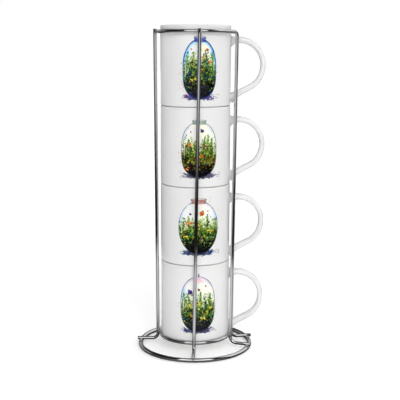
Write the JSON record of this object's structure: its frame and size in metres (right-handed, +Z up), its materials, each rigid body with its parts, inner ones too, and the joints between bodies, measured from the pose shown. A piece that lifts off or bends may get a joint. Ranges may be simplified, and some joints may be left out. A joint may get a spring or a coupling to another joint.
{
  "type": "stacking mug rack",
  "caption": "Upright rack of chromed round wire that holds a column of stacked ceramic mugs, with their handles passing through an open gate.",
  "frame": {"origin": "centre of the base ring, on the surface that the rack stands on", "axes": "+Z up along the rack's axis, +X out through the gate in the handles' direction"},
  "size_m": [0.149, 0.138, 0.3759],
  "materials": {
    "chromed_wire": "bright chrome plate on steel wire",
    "glazed_mug": "glossy white glaze",
    "mug_print": "coloured print under a glossy glaze"
  },
  "bodies": {
    "rack": {"base_ring": "chromed_wire", "seat_ring": "chromed_wire", "rear_upright": "chromed_wire", "left_upright": "chromed_wire", "front_upright": "chromed_wire", "gate_hoop": "chromed_wire", "hoop_welds": "chromed_wire", "seat_welds": "chromed_wire", "foot_welds": "chromed_wire"},
    "mug_1": {"mug_1_body": "glazed_mug", "mug_1_handle": "glazed_mug"},
    "mug_2": {"mug_2_body": "glazed_mug", "mug_2_handle": "glazed_mug"},
    "mug_3": {"mug_3_body": "glazed_mug", "mug_3_handle": "glazed_mug"},
    "mug_4": {"mug_4_body": "glazed_mug", "mug_4_handle": "glazed_mug"}
  },
  "joints": [
    {"name": "mug_1_lift", "type": "slide", "parent": "rack", "child": "mug_1", "axis": [0, 0, 1], "range_m": [0, 0.365]},
    {"name": "mug_2_lift", "type": "slide", "parent": "mug_1", "child": "mug_2", "axis": [0, 0, 1], "range_m": [0, 0.275]},
    {"name": "mug_3_lift", "type": "slide", "parent": "mug_2", "child": "mug_3", "axis": [0, 0, 1], "range_m": [0, 0.185]},
    {"name": "mug_4_lift", "type": "slide", "parent": "mug_3", "child": "mug_4", "axis": [0, 0, 1], "range_m": [0, 0.095]}
  ]
}
